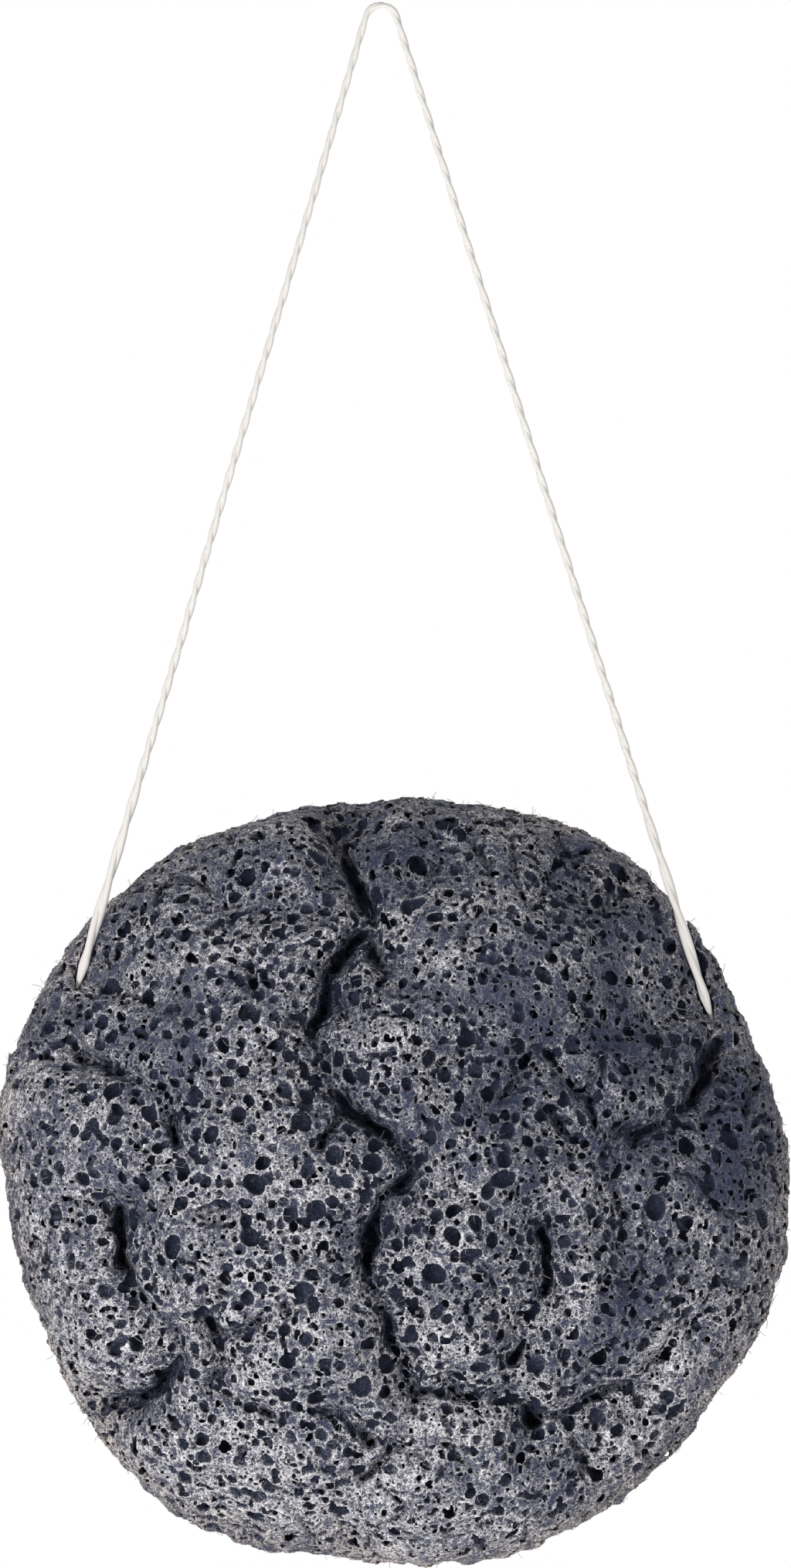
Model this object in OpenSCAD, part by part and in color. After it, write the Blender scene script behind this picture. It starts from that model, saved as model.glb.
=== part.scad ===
// A konjac face sponge: a domed puff of open foam that hangs from a loop of thin cotton cord.
// The origin is where a hook bears on the underside of the cord. +Z is up, and the dome faces -Y.
// The cord's straight threaded stretch is the hinge that the sponge swings on.

/* [Sponge] */
// Width of the sponge across its widest line
sponge_d = 80; // [70:1:100]
// Depth of the dome in front of the widest line
crown_h = 24; // [16:0.5:30]
// Depth of the foam behind the widest line
back_h = 7; // [5:0.5:12]
// Width of the flat back
back_flat_d = 58; // [40:1:64]
// Depth of the deepest folds in the dome
fold_depth = 5; // [0.5:0.25:6]
// Distance from the bottom of a fold to where the dome is smooth again
fold_reach = 7.5; // [3:0.5:9]

/* [Cord] */
// Thickness of the cord
cord_d = 0.9; // [0.6:0.1:1.4]
// Radius of the cord's middle line where it turns inside the foam
bend_r = 1.6; // [1.2:0.1:2.2]
// Thickness of the knot
knot_d = 3.2; // [2.4:0.1:4]
// Length of the knot along the cord
knot_len = 2.6; // [1.6:0.1:3]
// Reach of the knot's two cut ends from its middle
tail_reach = 2.8; // [2:0.1:3.4]

/* [Hanging] */
// Height of the hook above the middle of the sponge
drop = 120; // [110:1:130]
// Distance from the plumb line through the hook to the middle of the sponge
side_shift = 1.2; // [0:0.1:2]
// Distance of the threaded stretch in front of the widest line
thread_front = 4.9; // [3:0.1:7]
// Depth of the cord's left turn inside the widest line
left_in = 2.7; // [2:0.1:6]
// Angle of the left turn round the sponge, from its right-hand side
left_at = 152.5; // [145:0.5:160]
// Depth of the cord's right turn inside the widest line
right_in = 3.7; // [2:0.1:6]
// Angle of the right turn round the sponge, from its right-hand side
right_at = 23; // [18:0.5:32]
// Distance of the knot from the middle of the threaded stretch, to the right
knot_shift = 12; // [-20:1:20]
// Angle that the sponge swings forwards from rest, bottom first
swing_front = 110; // [60:5:115]
// Angle that the sponge swings backwards from rest
swing_back = 10; // [0:1:20]

/* [Clearances] */
// Gap between the threaded cord and the wall of its hole
thread_gap = 0.05; // [0.02:0.01:0.1]
// Gap between the cord and the slits that it works in
slit_gap = 0.25; // [0.15:0.05:0.5]
// Gap round the knot and its cut ends in their pocket
knot_gap = 0.3; // [0.2:0.05:0.6]

/* [Hidden] */

foam_colour = "#4b4f58";
cord_colour = "#efece6";
knot_colour = "#e4dfd4";

cord_r = cord_d / 2;
sponge_r = sponge_d / 2;
back_flat_r = back_flat_d / 2;
smooth_fn = 48;

// Length by which each slit runs past the foam
overrun = 6;
// Length of a slit inside the foam, for each depth of its turn inside the widest line
slit_share = 4;

// The middle of the sponge on its widest plane
middle = [side_shift, thread_front, -drop];

// The corners where the lines of the legs and of the threaded stretch meet
function on_sponge(depth, at) = [middle.x, 0, middle.z] + (sponge_r - depth) * [cos(at), 0, sin(at)];
left_corner = on_sponge(left_in, left_at);
right_corner = on_sponge(right_in, right_at);
thread_len = norm(right_corner - left_corner);
thread_dir = (right_corner - left_corner) / thread_len;
thread_tilt = asin(-thread_dir.z);

// The loop's route from the left entry over the hook to the right entry, as x and z
leg_left = [
    [-30.2, -97], [-28.1, -90], [-25.1, -80], [-20.6, -65], [-16.2, -50], [-11.7, -35],
    [-7.2, -20], [-2.8, -5],
];
hook_bend = [
    [-1.55, -0.7], [-1.3, -0.25], [-0.95, 0.15], [-0.5, 0.35], [0, 0.45],
    [0.5, 0.35], [0.95, 0.15], [1.3, -0.25], [1.55, -0.7],
];
leg_right = [
    [2.9, -5], [7.6, -20], [12.3, -35], [17, -50], [21.7, -65], [26.4, -80],
    [29.6, -90], [32.6, -99.5],
];
route = [for (p = concat(leg_left, hook_bend, leg_right)) [p.x, 0, p.y]];

// Largest distance from one ring of the loop to the next, in cord thicknesses
ring_step_share = 4;
cord_sides = 8;

function unit(v) = v / norm(v);
left_leg_dir = unit(route[0] - left_corner);
right_leg_dir = unit(route[len(route) - 1] - right_corner);

// Angle between a leg and the threaded stretch, and how far the turn reaches from the corner
left_angle = acos(left_leg_dir * thread_dir);
right_angle = acos(-right_leg_dir * thread_dir);
function turn_reach(leg_angle) = bend_r / tan(leg_angle / 2);

// A ball round each turn of the cord leaves it free to swing
function ball_place(leg_angle) = turn_reach(leg_angle) * cos(leg_angle);
function ball_r(leg_angle) = turn_reach(leg_angle) * sin(leg_angle) + cord_r + slit_gap;

// Waves in the outline seen from the front: lobes round the rim, share of the radius, angle of a crest
outline_shares = [[2, 0.008, -25], [3, 0.007, 32], [4, 0.014, -33], [5, 0.005, -8], [6, 0.007, -5]];
function outline(a) = 1 + sum([for (w = outline_shares) w[1] * cos(w[0] * (a - w[2]))]);
function sum(list, i = 0) = i < len(list) ? list[i] + sum(list, i + 1) : 0;

// The main folds of the dome, as shares of the sponge's radius from its middle, right and up,
// each with the share of the full depth that it has
fold_shares = [
    [1.0, [[-0.12, 0.93], [-0.12, 0.82], [-0.06, 0.66], [-0.03, 0.56], [-0.14, 0.52], [-0.2, 0.4],
        [-0.17, 0.26], [-0.12, 0.17], [-0.04, 0.12], [0.04, 0.05], [0, -0.03], [-0.05, -0.13],
        [-0.06, -0.25], [-0.01, -0.34], [0.02, -0.44], [0.05, -0.53], [0.14, -0.54], [0.3, -0.54],
        [0.34, -0.62]]],
    [0.7, [[0.36, -0.6], [0.49, -0.57], [0.62, -0.54]]],
    [0.4, [[0.66, -0.5], [0.75, -0.39]]],
    [0.8, [[-0.7, -0.07], [-0.69, -0.18], [-0.64, -0.31], [-0.55, -0.4], [-0.57, -0.48],
        [-0.63, -0.56], [-0.71, -0.59]]],
    [0.8, [[-0.48, -0.36], [-0.44, -0.44], [-0.45, -0.5]]],
    [0.6, [[-0.45, -0.4], [-0.35, -0.36], [-0.28, -0.31]]],
    [0.5, [[-0.43, -0.54], [-0.38, -0.58], [-0.3, -0.61]]],
    [0.6, [[-0.19, -0.57], [-0.1, -0.62], [-0.05, -0.66]]],
    [0.6, [[-0.79, 0.31], [-0.66, 0.25], [-0.58, 0.21], [-0.56, 0.1]]],
    [0.5, [[-0.41, 0.24], [-0.31, 0.31]]],
    [0.5, [[-0.45, 0.7], [-0.21, 0.69], [-0.05, 0.65]]],
    [0.8, [[0.38, -0.13], [0.38, -0.28], [0.31, -0.34], [0.34, -0.4], [0.31, -0.45]]],
    [0.8, [[0.77, 0.22], [0.75, 0.17], [0.66, 0.12], [0.59, 0.11]]],
    [0.6, [[0.57, 0.14], [0.57, -0.12], [0.59, -0.24]]],
    [0.7, [[0.41, 0.31], [0.47, 0.23], [0.5, 0.15]]],
    [0.6, [[0.13, 0.29], [0.21, 0.38]]],
    [0.6, [[0.28, 0.21], [0.36, 0.31]]],
    [0.6, [[0.38, 0.19], [0.49, 0.09]]],
    [0.5, [[0.45, 0.72], [0.58, 0.72]]],
    [0.5, [[0, -0.68], [0.1, -0.69], [0.16, -0.7]]],
    [0.4, [[0, -0.68], [-0.07, -0.77]]],
];
// How fast a fold's side flattens towards its edge
fold_power = 1.9;

function piece_distance(p, a, b) =
    norm(p - a - (b - a) * max(0, min(1, (p - a) * (b - a) / ((b - a) * (b - a)))));
function fold_distance(p, line) =
    min([for (i = [1 : len(line) - 1]) piece_distance(p, line[i - 1], line[i])]);
function fold_at(p) = fold_depth * max([for (f = fold_shares)
    f[0] * pow(max(0, 1 - sponge_r * fold_distance(p, f[1]) / fold_reach), fold_power)]);

// Rings of the foam's surface from the tip of the dome to the widest line, and on to the flat back
dome_rings = 17;
rim_rings = 3;
// How late the folds fade out on the way to the widest line
fade_power = 10;
rim_points = 6 * dome_rings;

// A point on the dome, where part of the way is 0 at the tip and 1 on the widest line
function dome_point(part, a) =
    let (r_share = sin(90 * part) * (1 + (outline(a) - 1) * part * part),
        flat = r_share * [cos(a), sin(a)],
        out = unit([flat.x / sponge_r, -cos(90 * part) / crown_h, flat.y / sponge_r]),
        skin = [sponge_r * flat.x, -crown_h * cos(90 * part), sponge_r * flat.y])
    middle + skin - out * fold_at(flat) * (1 - pow(part, fade_power));

// A point on the back of the rim, where part of the way is 0 on the widest line and 1 on the flat back
function rim_point(part, a) =
    let (r = back_flat_r + (sponge_r * outline(a) - back_flat_r) * cos(90 * part))
    middle + [r * cos(a), back_h * sin(90 * part), r * sin(a)];

dome_points = concat([dome_point(0, 0)],
    [for (k = [1 : dome_rings]) for (j = [0 : 6 * k - 1]) dome_point(k / dome_rings, 60 * j / k)]);
rim_point_list =
    [for (k = [1 : rim_rings]) for (j = [0 : rim_points - 1]) rim_point(k / rim_rings, 360 * j / rim_points)];

function first_in_ring(k) = k == 0 ? 0 : 1 + 3 * k * (k - 1);
function in_ring(k, j) = first_in_ring(k) + (k == 0 ? 0 : j % (6 * k));
function in_rim(k, j) = first_in_ring(dome_rings) + k * rim_points + j % rim_points;

dome_faces = [for (k = [1 : dome_rings]) for (s = [0 : 5]) for (i = [0 : k - 1]) each concat(
    [[in_ring(k - 1, s * (k - 1) + i), in_ring(k, s * k + i), in_ring(k, s * k + i + 1)]],
    i < k - 1 ? [[in_ring(k - 1, s * (k - 1) + i), in_ring(k, s * k + i + 1),
        in_ring(k - 1, s * (k - 1) + i + 1)]] : [])];
rim_faces = [for (k = [0 : rim_rings - 1]) for (j = [0 : rim_points - 1]) each [
    [in_rim(k, j), in_rim(k + 1, j), in_rim(k + 1, j + 1)],
    [in_rim(k, j), in_rim(k + 1, j + 1), in_rim(k, j + 1)]]];
back_face = [[for (j = [0 : rim_points - 1]) in_rim(rim_rings, j)]];

module foam_form() polyhedron(
    points = concat(dome_points, rim_point_list), faces = concat(dome_faces, rim_faces, back_face));

// Places its children at a turn of the cord: Z runs along the threaded stretch into the foam and X is up.
// Y is towards the front on the left and towards the back on the right.
module at_left_turn() translate(left_corner) rotate([0, 90 + thread_tilt, 0]) rotate([0, 0, 180]) children();
module at_right_turn() translate(right_corner) rotate([0, thread_tilt - 90, 0]) children();

// The slit that one leg of the cord works in, from one end of the swing to the other
module leg_slit(leg_angle, depth, first, last) {
    along = [sin(leg_angle), cos(leg_angle)];
    across = [-cos(leg_angle), sin(leg_angle)];
    near = turn_reach(leg_angle) / 2;
    far = slit_share * depth + overrun;
    half_w = cord_r + slit_gap;
    margin = asin(half_w / ball_r(leg_angle));
    rotate([0, 0, first - margin]) rotate_extrude(angle = last - first + 2 * margin, $fn = smooth_fn)
        polygon([along * near - across * half_w, along * far - across * half_w,
            along * far + across * half_w, along * near + across * half_w]);
    translate([0, 0, ball_place(leg_angle)]) sphere(r = ball_r(leg_angle), $fn = smooth_fn);
}

// One half of the threaded stretch: straight to the knot, and turned up into its leg at the other end
module threaded_cord(leg_angle, knot_face) {
    reach = turn_reach(leg_angle);
    translate([0, 0, reach]) cylinder(r = cord_r, h = knot_face - reach, $fn = smooth_fn);
    translate([bend_r, 0, reach]) rotate([90, 0, 0]) rotate([0, 0, 180])
        rotate_extrude(angle = 180 - leg_angle, $fn = smooth_fn)
            translate([bend_r, 0]) circle(r = cord_r, $fn = smooth_fn);
}

knot_from_left = thread_len / 2 + knot_shift;

module sponge_body() color(foam_colour) difference() {
    foam_form();
    at_left_turn() {
        translate([0, 0, ball_place(left_angle)]) cylinder(r = cord_r + thread_gap,
            h = thread_len - ball_place(left_angle) - ball_place(right_angle), $fn = smooth_fn);
        translate([0, 0, knot_from_left]) sphere(r = tail_reach + cord_r + knot_gap, $fn = smooth_fn);
        leg_slit(left_angle, left_in, -swing_back, swing_front);
    }
    at_right_turn() leg_slit(right_angle, right_in, -swing_front, swing_back);
}

module cord_thread_left() color(cord_colour)
    at_left_turn() threaded_cord(left_angle, knot_from_left - knot_len / 2);

module cord_thread_right() color(cord_colour)
    at_right_turn() threaded_cord(right_angle, thread_len - knot_from_left - knot_len / 2);

// The knot, drawn up tight, with the cord's two cut ends standing out of it
tail_lean = 50;
module cord_knot() color(knot_colour) at_left_turn() translate([0, 0, knot_from_left]) {
    intersection() {
        sphere(d = knot_d, $fn = smooth_fn);
        cylinder(d = knot_d, h = knot_len, center = true, $fn = smooth_fn);
    }
    for (turn = [0, 180]) rotate([0, 0, turn]) rotate([0, tail_lean, 0])
        cylinder(r = cord_r, h = tail_reach, $fn = smooth_fn);
}

// The free loop: rings of points round the route, joined into one tube
loop_ends = [left_corner + left_leg_dir * turn_reach(left_angle),
    right_corner + right_leg_dir * turn_reach(right_angle)];
loop_path = concat([loop_ends[0]], route, [loop_ends[1]]);
function steps(a, b) = ceil(norm(b - a) / (ring_step_share * cord_d));
rings = concat([for (i = [1 : len(loop_path) - 1])
    let (a = loop_path[i - 1], b = loop_path[i], n = steps(a, b))
        for (k = [0 : n - 1]) a + (b - a) * k / n], [loop_ends[1]]);
function ring_dir(i) = i == 0 ? left_leg_dir : i == len(rings) - 1 ? -right_leg_dir
    : unit(unit(rings[i] - rings[i - 1]) + unit(rings[i + 1] - rings[i]));
function ring(i) = let (d = ring_dir(i), side = [-d.z, 0, d.x]) [for (k = [0 : cord_sides - 1])
    let (a = 360 * (k + 0.5) / cord_sides) rings[i] + cord_r * (cos(a) * side + [0, sin(a), 0])];

module cord_loop() {
    s = cord_sides;
    last = len(rings) - 1;
    walls = [for (i = [1 : last]) for (k = [0 : s - 1])
        let (a = (i - 1) * s + k, b = (i - 1) * s + (k + 1) % s) each [[a, b, b + s], [a, b + s, a + s]]];
    ends = [[for (k = [s - 1 : -1 : 0]) k], [for (k = [0 : s - 1]) last * s + k]];
    color(cord_colour) polyhedron(points = [for (i = [0 : last]) each ring(i)], faces = concat(walls, ends));
}

sponge_body();
cord_loop();
cord_thread_left();
cord_thread_right();
cord_knot();
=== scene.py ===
"""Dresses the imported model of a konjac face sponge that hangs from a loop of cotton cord.

The foam is carved out of a grid of distances: the puff's own form, less its folds, its cells, and the
valleys and slits of the cord's legs. The cord's plies and the foam's loose fibres are Geometry Nodes.
Lengths are in metres, but the functions that carve the foam work in millimetres from the middle of the
sponge's widest plane.
"""

import math

import bpy
import numpy as np
from bpy.props import FloatProperty, FloatVectorProperty, IntProperty, PointerProperty
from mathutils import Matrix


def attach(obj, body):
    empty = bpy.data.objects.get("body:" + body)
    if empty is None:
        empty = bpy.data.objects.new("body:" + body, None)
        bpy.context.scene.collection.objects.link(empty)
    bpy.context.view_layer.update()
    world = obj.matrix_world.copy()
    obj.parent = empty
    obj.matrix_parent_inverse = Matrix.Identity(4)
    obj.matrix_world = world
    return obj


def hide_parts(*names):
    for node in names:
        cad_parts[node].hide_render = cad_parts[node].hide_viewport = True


bl_info = {
    "name": "Konjac Sponge on a Cord",
    "blender": (4, 5, 0),
    "version": (1, 0, 0),
    "location": "View3D > Sidebar > Sponge",
    "description": "Builds a charcoal konjac sponge, its cotton cord and a plain studio",
    "category": "Object",
}

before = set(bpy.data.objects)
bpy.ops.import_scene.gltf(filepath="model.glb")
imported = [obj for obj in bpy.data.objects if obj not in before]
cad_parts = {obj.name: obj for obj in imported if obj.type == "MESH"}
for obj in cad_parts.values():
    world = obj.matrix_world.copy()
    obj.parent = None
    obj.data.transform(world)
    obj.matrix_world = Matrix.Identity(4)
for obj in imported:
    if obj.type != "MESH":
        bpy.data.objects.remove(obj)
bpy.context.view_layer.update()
MM = 0.001

# The middle of the sponge's widest plane, and the corners where the cord's legs meet its threaded stretch
MIDDLE = np.array([1.2, 4.9, -120.0])
LEFT_CORNER = np.array([-31.886, 0.0, -102.777])
RIGHT_CORNER = np.array([34.614, 0.0, -105.817])

# The loop's route from the left turn over the hook to the right turn, as x and z in mm
CORD_ROUTE = [
    (-31.25, -100.62), (-30.2, -97), (-28.1, -90), (-25.1, -80), (-20.6, -65), (-16.2, -50), (-11.7, -35),
    (-7.2, -20), (-2.8, -5),
    (-1.55, -0.7), (-1.3, -0.25), (-0.95, 0.15), (-0.5, 0.35), (0, 0.45),
    (0.5, 0.35), (0.95, 0.15), (1.3, -0.25), (1.55, -0.7),
    (2.9, -5), (7.6, -20), (12.3, -35), (17, -50), (21.7, -65), (26.4, -80),
    (29.6, -90), (32.6, -99.5), (33.95, -103.66),
]

# Waves in the puff's outline: lobes round the rim, share of the radius, angle of a crest in degrees
OUTLINE_WAVES = [
    (1, 0.009, -72), (2, 0.008, -25), (3, 0.007, 32), (4, 0.014, -33), (5, 0.005, -8), (6, 0.007, -5),
]

# Folds of the dome: how deep they pull it in and how deep their cut is, as shares of the deepest, and
# their line in mm right and up of the middle
FOLDS = [
    (0.9, 0.9, [(-4.5, 37), (-5, 34), (-4.5, 31.5), (-2.5, 26.5), (-1, 22)]),
    (1.0, 1.0, [(-3, 24.5), (-5.5, 21), (-6.5, 18), (-8, 16), (-7, 13), (-7, 10.5), (-5.5, 8), (-4.5, 6.5),
                (-1.5, 5), (1.5, 2.5), (2, 1), (-0.5, -1), (-1.5, -4), (-2.5, -6.5), (-2.5, -10),
                (-0.5, -13.5), (0, -16.5), (1, -18.5), (1.5, -21), (3, -21.5), (5.5, -21.5), (7, -22),
                (9, -22), (12, -21.5), (13, -23), (14, -25)]),
    (0.5, 0.6, [(-5, 6.5), (-7, 4)]),
    (0.7, 0.6, [(14.5, -24), (19.5, -23), (23.5, -21.5), (25, -21.5)]),
    (0.4, 0.5, [(26.5, -20), (27, -18.5), (29, -16.5), (30, -15.5)]),
    (0.8, 0.8, [(15, -5), (15.5, -8), (15.5, -11), (14.5, -12.5), (12.5, -13.5), (13.5, -15), (13.5, -17),
                (12.5, -18)]),
    (0.3, 0.2, [(8, -13), (11, -13)]),
    (0.7, 0.4, [(16.5, 12.5), (17.5, 11), (19, 9), (20, 7), (20, 6)]),
    (0.4, 0.4, [(19, 9), (20.5, 11), (22.5, 11.5)]),
    (0.3, 0.6, [(33.4, 15), (33, 13.5), (32.5, 12)]),
    (0.8, 0.8, [(32.5, 12), (31.5, 9.5), (30, 7.5), (28.5, 6), (26.5, 5), (24.5, 4), (23.5, 4.5)]),
    (0.6, 0.2, [(23, 5.5), (23, 0.5), (23, -5), (23.5, -9.5)]),
    (0.6, 0.3, [(5, 11.5), (7, 14), (8.5, 15)]),
    (0.6, 0.4, [(11, 8.5), (13, 10.5), (14.5, 12.5)]),
    (0.6, 0.5, [(15, 7.5), (17, 5.5), (19.5, 3.5)]),
    (0.2, 0.5, [(-33, 16), (-32.5, 14), (-31.5, 12.5)]),
    (0.6, 0.5, [(-31.5, 12.5), (-29, 11), (-26.5, 10), (-24.5, 9.5), (-23, 8.5), (-22.5, 6.5), (-22.5, 4)]),
    (0.5, 0.4, [(-16.5, 9.5), (-14, 11.5), (-12.5, 12.5)]),
    (0.8, 0.8, [(-28, -3), (-27.5, -7), (-26.5, -9.5), (-25.5, -12.5), (-24, -14), (-22, -16), (-22.5, -19),
                (-24, -21.5), (-25.5, -22.5), (-28.5, -23.5)]),
    (0.8, 0.7, [(-19, -14.5), (-18, -16), (-17.5, -18), (-18, -20)]),
    (0.6, 0.6, [(-18, -16), (-16, -16), (-14, -14.5), (-12.5, -13.5), (-11, -12.5)]),
    (0.3, 0.4, [(-20.5, -3.5), (-18.5, -3), (-16.5, -3.5)]),
    (0.5, 0.4, [(-17, -21.5), (-15.5, -23), (-13.5, -23.5), (-12, -24.5)]),
    (0.6, 0.5, [(-7.5, -23), (-6, -23.5), (-4, -25), (-2, -26.5)]),
    (0.4, 0.4, [(0, -27), (-1.5, -29), (-3, -31)]),
    (0.4, 0.4, [(-6.5, -35.5), (-4.5, -37.5)]),
    (0.3, 0.3, [(-17, -35.5), (-14.5, -36.5)]),
    (0.5, 0.5, [(0, -27), (1.5, -27), (4, -27.5), (6.5, -28)]),
    (0.4, 0.6, [(19, -26.5), (20, -27.5), (19.5, -29)]),
    (0.5, 0.0, [(-18, 28), (-13.5, 27.5), (-8.5, 27.5), (-4.5, 27), (-2, 26)]),
    (0.4, 0.3, [(1.5, 29.5), (3.5, 30), (5, 31.5)]),
    (0.5, 0.1, [(18, 29), (21, 28.5), (23, 29)]),
    (0.3, 0.5, [(-14.5, 22), (-14, 19.5)]),
    (0.2, 0.8, [(-9.5, -4.5), (-9.5, -7.5)]),
]


def linear(code):
    """An sRGB hex colour as linear red, green, blue and 1."""
    parts = [int(code[i:i + 2], 16) / 255 for i in (1, 3, 5)]
    return [*(c / 12.92 if c <= 0.04045 else ((c + 0.055) / 1.055) ** 2.4 for c in parts), 1.0]


class SpongeSizes(bpy.types.PropertyGroup):
    """Sizes of the foam."""

    width: FloatProperty(name="Width", description="Across the widest line", default=0.08, unit="LENGTH")
    crown: FloatProperty(
        name="Crown", description="Dome in front of the widest line", default=0.024, unit="LENGTH")
    back: FloatProperty(name="Back", description="Foam behind the widest line", default=0.007, unit="LENGTH")
    back_flat: FloatProperty(
        name="Flat Back", description="Width of the flat back", default=0.058, unit="LENGTH")
    fold_depth: FloatProperty(
        name="Fold Depth", description="How far the deepest fold pulls the dome in", default=0.0046,
        unit="LENGTH")
    fold_reach: FloatProperty(
        name="Fold Reach", description="From a fold to where the dome is smooth", default=0.0076,
        unit="LENGTH")
    cut_depth: FloatProperty(
        name="Cut Depth", description="Depth of the cut in the deepest fold", default=0.0034, unit="LENGTH")
    cut_width: FloatProperty(
        name="Cut Width", description="Half the width of that cut", default=0.0007, unit="LENGTH")
    detail: FloatProperty(
        name="Detail", description="Step of the carving grid", default=0.00026, unit="LENGTH")
    seed: IntProperty(name="Seed", description="Picks the cells", default=7)


class CordSizes(bpy.types.PropertyGroup):
    """Sizes of the cord."""

    diameter: FloatProperty(
        name="Diameter", description="Thickness of the cord", default=0.0009, unit="LENGTH")
    twist: FloatProperty(
        name="Twist", description="Length of one full turn of a ply", default=0.0056, unit="LENGTH")
    flat_width: FloatProperty(
        name="Flat Width", description="Width where it is pressed flat at the foam", default=0.00128,
        unit="LENGTH")
    slack: FloatProperty(
        name="Loose Stretch", description="Length by the foam over which the twist opens", default=0.024,
        unit="LENGTH")
    sides: IntProperty(name="Sides", description="Sides of a ply", default=8)


class FibreSizes(bpy.types.PropertyGroup):
    """Loose fibres of konjac on the foam's skin."""

    length: FloatProperty(name="Length", description="Longest fibre", default=0.0014, unit="LENGTH")
    thickness: FloatProperty(
        name="Thickness", description="Thickness of a fibre", default=0.00006, unit="LENGTH")
    density: FloatProperty(name="Density", description="Fibres on a square metre of skin", default=560000.0)
    seed: IntProperty(name="Seed", description="Scatters the fibres", default=3)


class Finishes(bpy.types.PropertyGroup):
    """Colours of the foam and the cord."""

    # Painted shade: the charcoal foam as dark as it looks deep in a cell
    foam_cell_shade: FloatVectorProperty(
        name="Foam in Cells", description="Charcoal foam deep in a cell", default=linear("#151d36")[:3],
        subtype="COLOR")
    foam_mid: FloatVectorProperty(
        name="Foam", description="Charcoal foam on the skin", default=linear("#2a3350")[:3], subtype="COLOR")
    # The paler threads of dry konjac, and the painted highlights on the rims of cells
    foam_pale: FloatVectorProperty(
        name="Foam Rims", description="Dry konjac on the rims of cells", default=linear("#f7f3f7")[:3],
        subtype="COLOR")
    cotton: FloatVectorProperty(
        name="Cotton", description="Undyed cotton cord", default=linear("#f4f0ec")[:3], subtype="COLOR")


def add(tree, kind, inputs=None, **settings):
    """Adds a node with these settings. Each input is given a value, or an output that feeds it."""
    made = tree.nodes.new(kind)
    for name, value in settings.items():
        setattr(made, name, value)
    for key, value in (inputs or {}).items():
        if isinstance(value, bpy.types.NodeSocket):
            tree.links.new(value, made.inputs[key])
        else:
            made.inputs[key].default_value = value
    return made


def new_material(name):
    """An empty node material, and its tree."""
    made = bpy.data.materials.new(name)
    made.use_nodes = True
    made.node_tree.nodes.clear()
    return made, made.node_tree


def mesh_of(name, points, faces):
    """A smooth mesh object of faces with four corners each, in metres."""
    mesh = bpy.data.meshes.new(name)
    mesh.vertices.add(len(points))
    mesh.vertices.foreach_set("co", points.astype(np.float32).ravel())
    mesh.loops.add(faces.size)
    mesh.loops.foreach_set("vertex_index", faces.astype(np.int32).ravel())
    mesh.polygons.add(len(faces))
    mesh.polygons.foreach_set("loop_start", np.arange(0, faces.size, 4, dtype=np.int32))
    mesh.update(calc_edges=True)
    mesh.validate()
    mesh.shade_smooth()
    made = bpy.data.objects.new(name, mesh)
    bpy.context.scene.collection.objects.link(made)
    return made


# The form of the puff, in mm from its middle


def smooth_noise(axes, spacing, rng):
    """Soft random numbers, mostly from -1 to 1, at the crossings of axes, with a new one every spacing mm."""
    values = rng.uniform(-1.8, 1.8, [int(np.ptp(a) / spacing) + 5 for a in axes])
    for number, places in enumerate(axes):
        at = (places - places[0]) / spacing + 1
        low = np.floor(at).astype(int)
        t = at - low
        weights = np.zeros((len(places), values.shape[number]))
        for step, w in enumerate(
                ((1 - t) ** 3, 3 * t**3 - 6 * t**2 + 4, -3 * t**3 + 3 * t**2 + 3 * t + 1, t**3)):
            weights[np.arange(len(places)), low - 1 + step] = w / 6
        values = np.moveaxis(np.tensordot(weights, values, (1, number)), 0, number)
    return values.astype(np.float32)


def puff_distance(x, y, z, sizes):
    """How far points are outside the unfolded puff, with a minus inside."""
    radius = np.hypot(x, z)
    around = np.arctan2(z, x)
    lobes = 1 + sum(share * np.cos(n * (around - math.radians(crest))) for n, share, crest in OUTLINE_WAVES)
    wide, crown, back, flat = (
        v / MM for v in (sizes.width / 2, sizes.crown, sizes.back, sizes.back_flat / 2))
    part = np.clip(np.arctan2(radius / wide, -y / crown) / (math.pi / 2), 0, 1)
    rim = wide * (1 + (lobes - 1) * part**2)
    out, slope = np.hypot(radius / rim, y / crown), np.hypot(radius / rim**2, y / crown**2)
    front = out * (out - 1) / np.maximum(slope, 1e-6)
    past, reach = np.maximum(radius - flat, 0), wide * lobes - flat
    out, slope = np.hypot(past / reach, y / back), np.hypot(past / reach**2, y / back**2)
    behind = out * (out - 1) / np.maximum(slope, 1e-6)
    return np.where(y < 0, front, behind).astype(np.float32)


def fold_fields(x, z, sizes):
    """How strongly the folds pull the dome in, and how strong their cuts are, over its front, from 0 to 1."""
    pull, cut = np.zeros_like(x), np.zeros_like(x)
    reach, width = sizes.fold_reach / MM, sizes.cut_width / MM
    for pull_share, cut_share, line in FOLDS:
        near = np.full_like(x, np.inf)
        for (ax, az), (bx, bz) in zip(line, line[1:]):
            dx, dz = bx - ax, bz - az
            t = np.clip(((x - ax) * dx + (z - az) * dz) / (dx * dx + dz * dz), 0, 1)
            near = np.minimum(near, np.hypot(x - ax - dx * t, z - az - dz * t))
        pull = np.maximum(pull, pull_share * np.maximum(0, 1 - near / reach) ** 1.9)
        cut = np.maximum(cut, cut_share * np.exp(-(near / (width * (0.6 + 0.4 * cut_share))) ** 2))
    return pull, cut


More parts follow.
